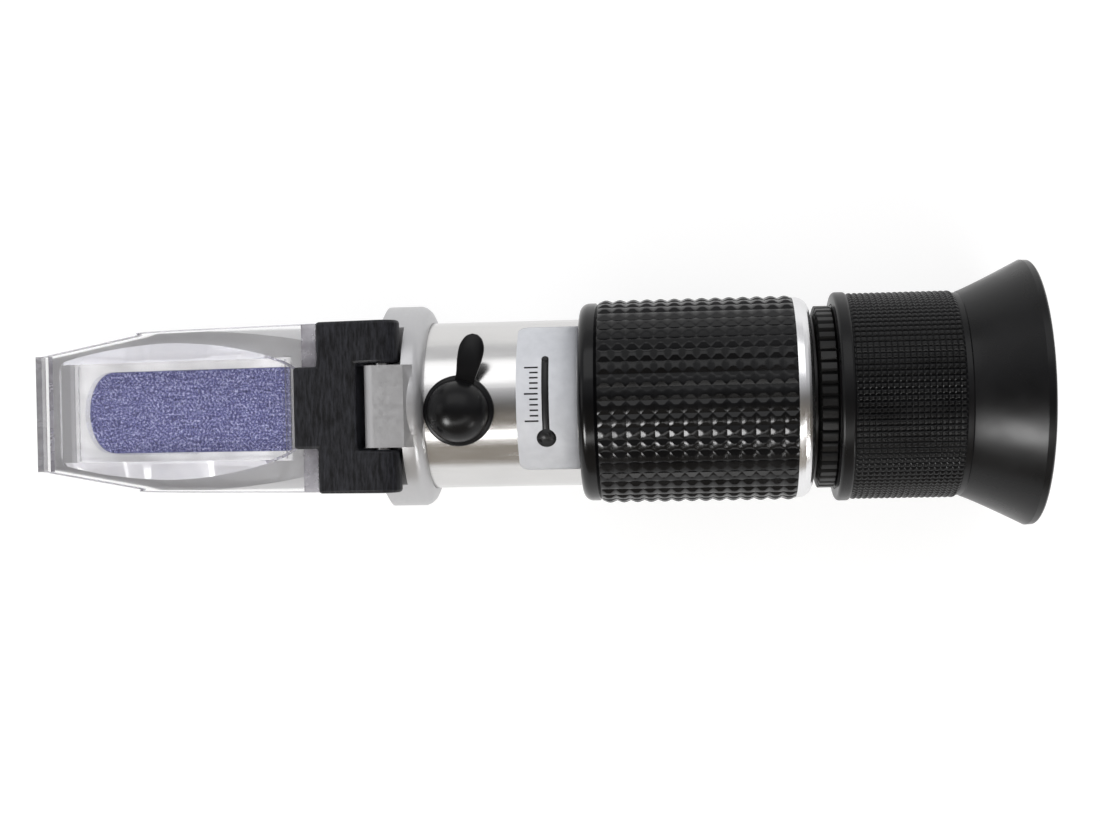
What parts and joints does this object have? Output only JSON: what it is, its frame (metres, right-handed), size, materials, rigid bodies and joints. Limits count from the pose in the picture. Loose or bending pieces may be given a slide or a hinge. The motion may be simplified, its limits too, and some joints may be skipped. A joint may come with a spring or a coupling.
{
  "type": "handheld refractometer",
  "caption": "Handheld refractometer: hinged clear daylight plate over a sloped prism, metal tube, knurled grip, calibration screw under a rubber plug, focusing eyepiece with eyecup.",
  "frame": {"origin": "on the optical axis, halfway between the daylight plate's tip and the eyecup's rim", "axes": "+X along the optical axis to the eye, +Z to the side of the daylight plate"},
  "size_m": [0.1586, 0.0414, 0.0413],
  "materials": {
    "housing": "satin",
    "tube": "bright satin",
    "ring_metal": "satin",
    "prism_glass": "polished, blue-violet by its coated back",
    "bezel": "matte white",
    "gasket": "matte",
    "inner_black": "matt black moulding",
    "steel": "machined",
    "brass": "machined",
    "lens_glass": "coated",
    "bimetal": "rolled",
    "plug_rubber": "glossy moulded",
    "label": "printed film",
    "grip_rubber": "glossy moulded knurl",
    "eyecup_rubber": "satin moulded",
    "barrel_plastic": "satin",
    "bracket_plastic": "fine grained",
    "clear_plate": "clear acrylic"
  },
  "bodies": {
    "instrument_body": {"prism_housing": "housing", "prism": "prism_glass", "prism_bezel": "bezel", "prism_gasket": "gasket", "light_baffle": "inner_black", "main_tube": "tube", "collar_set_screws": "steel", "screw_bush": "brass", "return_spring": "steel", "bimetal_strip": "bimetal", "strip_screw": "steel", "label": "label", "reticle_holder": "inner_black", "reticle": "lens_glass", "reticle_ring": "inner_black", "grip_sleeve": "grip_rubber", "rear_ring": "ring_metal", "eyepiece_guide": "inner_black", "focus_key": "brass"},
    "cover_plate": {"plate_bracket": "bracket_plastic", "daylight_plate": "clear_plate", "hinge_pin": "steel"},
    "objective": {"lens_carriage": "inner_black", "objective_lens": "lens_glass", "objective_ring": "inner_black"},
    "adjuster": {"calibration_screw": "steel"},
    "plug": {"calibration_plug": "plug_rubber"},
    "lens_group": {"lens_cell": "inner_black", "field_lens": "lens_glass", "lens_spacer": "inner_black", "eye_lens": "lens_glass", "lens_retainer": "inner_black"},
    "eyepiece": {"eyepiece_barrel": "barrel_plastic", "eyecup": "eyecup_rubber"}
  },
  "joints": [
    {"name": "plate_hinge", "type": "hinge", "parent": "instrument_body", "child": "cover_plate", "pos_m": [-0.0203, 0, 0.0134], "axis": [0, 1, 0], "range_deg": [0, 100]},
    {"name": "plug_pull", "type": "slide", "parent": "instrument_body", "child": "plug", "axis": [0, -0.0698, 0.9976], "range_m": [0, 0.012]},
    {"name": "lens_shift", "type": "slide", "parent": "instrument_body", "child": "objective", "axis": [0, -0.0698, 0.9976], "range_m": [-0.00025, 0.00025], "deforming": ["return_spring"]},
    {"name": "calibration_turn", "type": "hinge", "parent": "objective", "child": "adjuster", "pos_m": [-0.0086, 0, 0], "axis": [0, -0.0698, 0.9976], "range_deg": [-180, 180]},
    {"name": "focus_travel", "type": "slide", "parent": "instrument_body", "child": "lens_group", "axis": [1, 0, 0], "range_m": [0, 0.00333]},
    {"name": "focus_turn", "type": "hinge", "parent": "lens_group", "child": "eyepiece", "pos_m": [0.06, 0, 0], "axis": [1, 0, 0], "range_deg": [0, 300]}
  ],
  "couplings": [
    {"joint": "calibration_turn", "follows": "lens_shift", "rad_per_m": 12566},
    {"joint": "focus_turn", "follows": "focus_travel", "rad_per_m": 1570.8}
  ]
}
